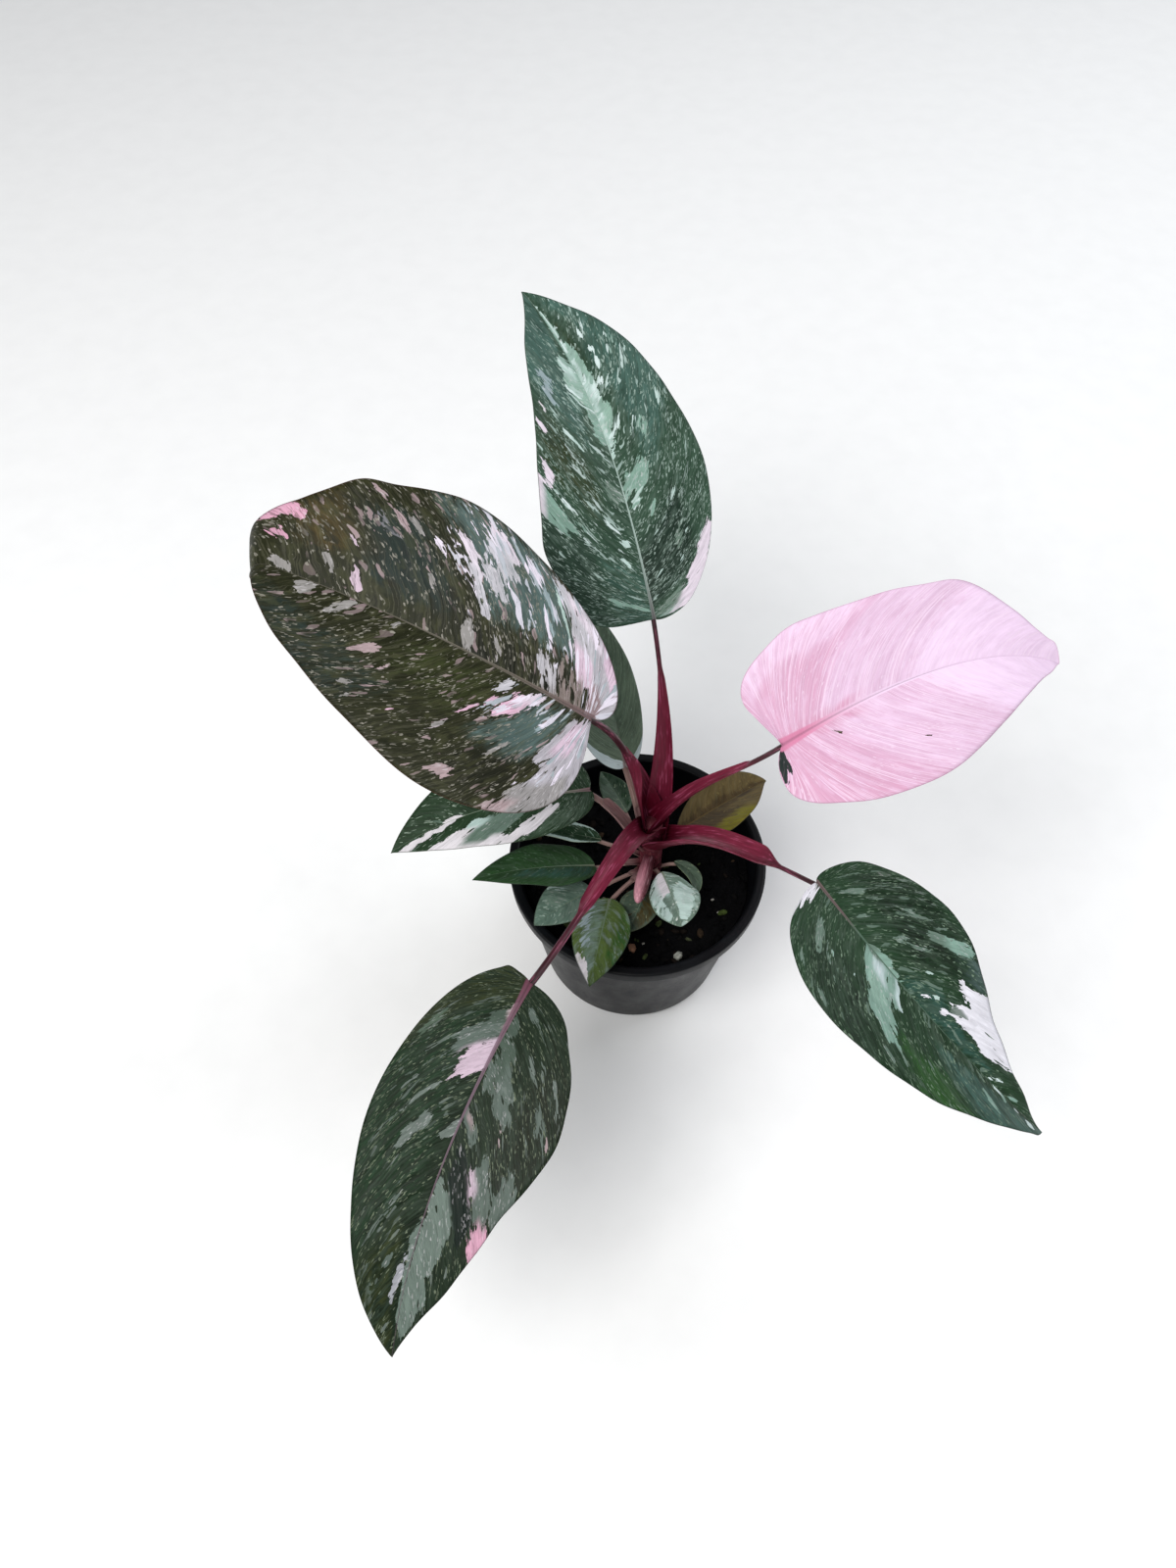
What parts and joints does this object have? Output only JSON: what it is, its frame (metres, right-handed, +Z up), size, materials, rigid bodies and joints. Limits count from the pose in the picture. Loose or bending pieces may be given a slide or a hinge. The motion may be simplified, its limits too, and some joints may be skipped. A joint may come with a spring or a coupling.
{
  "type": "potted philodendron",
  "caption": "Pink-variegated philodendron with broad pointed leaves on winged red stalks round a short stem, rooted in soil in a tapered black nursery pot.",
  "frame": {"origin": "centre of the pot's underside", "axes": "+Z up through the pot; +Y to the back of the plant, away from the viewer, and +X to the right"},
  "size_m": [0.3209, 0.3822, 0.2601],
  "materials": {
    "pot": "satin black moulded plastic",
    "soil": "dark damp potting mix with pale grains",
    "stem": "satin, reddish brown with ringed scars",
    "stalk_red": "satin wine red",
    "stalk_pale": "satin pinkish brown",
    "leaf_green": "satin dark green, flecked with mint, grey and pink",
    "leaf_pale": "satin pale green with white stripes",
    "leaf_fading": "matte yellow olive of an ageing leaf",
    "leaf_pink": "satin light pink with fine pale veins"
  },
  "bodies": {
    "root": {"pot": "pot", "soil": "soil", "stem": "stem", "left_leaf_blade": "leaf_green", "left_leaf_stalk": "stalk_red", "back_leaf_blade": "leaf_green", "back_leaf_stalk": "stalk_red", "pink_leaf_blade": "leaf_pink", "pink_leaf_stalk": "stalk_red", "right_leaf_blade": "leaf_green", "right_leaf_stalk": "stalk_red", "front_leaf_blade": "leaf_green", "front_leaf_stalk": "stalk_red", "striped_leaf_blade": "leaf_pale", "striped_leaf_stalk": "stalk_pale", "shaded_leaf_blade": "leaf_green", "shaded_leaf_stalk": "stalk_pale", "fading_leaf_blade": "leaf_fading", "fading_leaf_stalk": "stalk_pale", "low_left_leaf_blade": "leaf_green", "low_left_leaf_stalk": "stalk_pale", "silver_leaf_blade": "leaf_green", "silver_leaf_stalk": "stalk_pale", "low_front_leaf_blade": "leaf_green", "low_front_leaf_stalk": "stalk_pale", "narrow_leaf_blade": "leaf_green", "narrow_leaf_stalk": "stalk_pale", "olive_leaf_blade": "leaf_green", "olive_leaf_stalk": "stalk_pale", "rear_leaf_blade": "leaf_green", "rear_leaf_stalk": "stalk_pale", "mint_leaf_blade": "leaf_pale", "mint_leaf_stalk": "stalk_pale", "curled_leaf_blade": "leaf_green", "curled_leaf_stalk": "stalk_pale", "bud_sheath": "stalk_red"}
  },
  "joints": []
}
